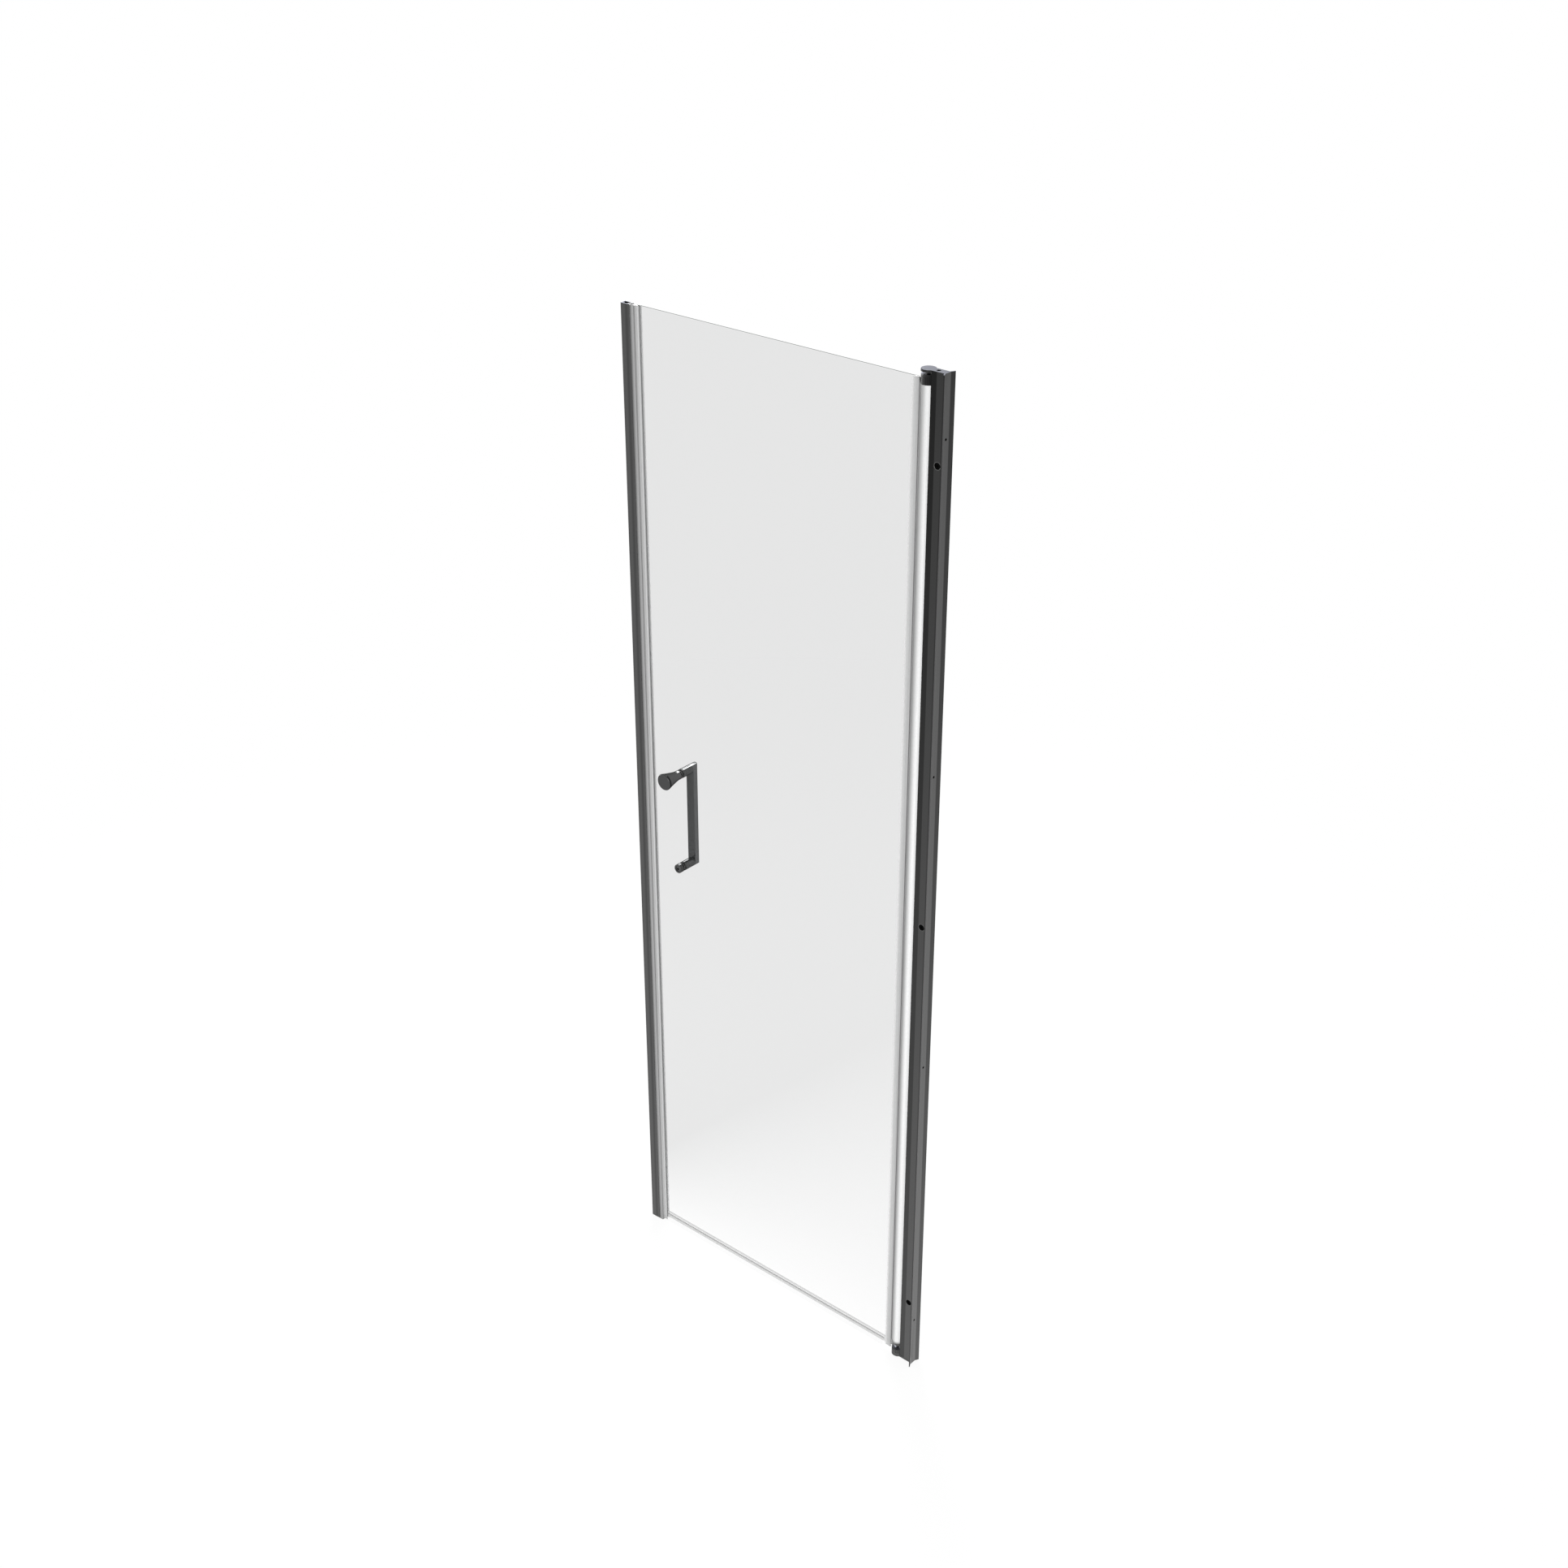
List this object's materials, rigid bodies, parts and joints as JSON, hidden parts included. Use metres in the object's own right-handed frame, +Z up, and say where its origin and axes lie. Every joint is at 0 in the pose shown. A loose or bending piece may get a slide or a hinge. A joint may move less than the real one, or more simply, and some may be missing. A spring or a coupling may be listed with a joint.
{
  "type": "shower door",
  "caption": "Pivot shower door for a niche: clear glass leaf in slim bright profiles, turning on top and bottom pivots, with pull bar, knob and magnetic seals.",
  "frame": {"origin": "middle of the doorway at floor level, on the glass's middle plane", "axes": "+X towards the hinge wall, -Y into the shower (the knob's side), +Z up"},
  "size_m": [0.686, 0.086, 1.95],
  "materials": {
    "bright_aluminium": "bright polished anodised",
    "pivot_metal": "satin chrome plated",
    "steel": "bright stainless",
    "chrome": "polished chrome plated",
    "clear_glass": "clear toughened",
    "clear_seal": "clear flexible",
    "magnet": "magnetic rubber strip",
    "nylon": "moulded nylon",
    "gasket": "matt"
  },
  "bodies": {
    "frame": {"hinge_wall_profile": "bright_aluminium", "hinge_post": "bright_aluminium", "post_clamp_screws": "steel", "post_clamp_nuts": "steel", "top_pivot_bracket": "pivot_metal", "bottom_pivot_bracket": "pivot_metal", "bracket_screws": "steel", "top_pivot_pin": "steel", "bottom_pivot_pin": "steel", "index_ring": "pivot_metal", "thrust_washer": "nylon", "strike_wall_profile": "bright_aluminium", "strike_seal": "clear_seal", "strike_magnet": "magnet"},
    "leaf": {"glass_panel": "clear_glass", "hinge_seal": "clear_seal", "closing_seal": "clear_seal", "door_magnet": "magnet", "bottom_seal": "clear_seal", "top_knuckle": "pivot_metal", "top_bush": "nylon", "bottom_knuckle": "clear_seal", "pull_handle": "chrome", "inside_knob": "chrome", "inside_cap": "chrome", "outside_gaskets": "gasket", "inside_gaskets": "gasket", "hole_sleeves": "nylon", "upper_handle_stud": "steel", "lower_handle_bolt": "steel"}
  },
  "joints": [
    {"name": "leaf_swing", "type": "hinge", "parent": "frame", "child": "leaf", "pos_m": [0.303, 0, 0], "axis": [0, 0, 1], "range_deg": [-88, 88]}
  ]
}
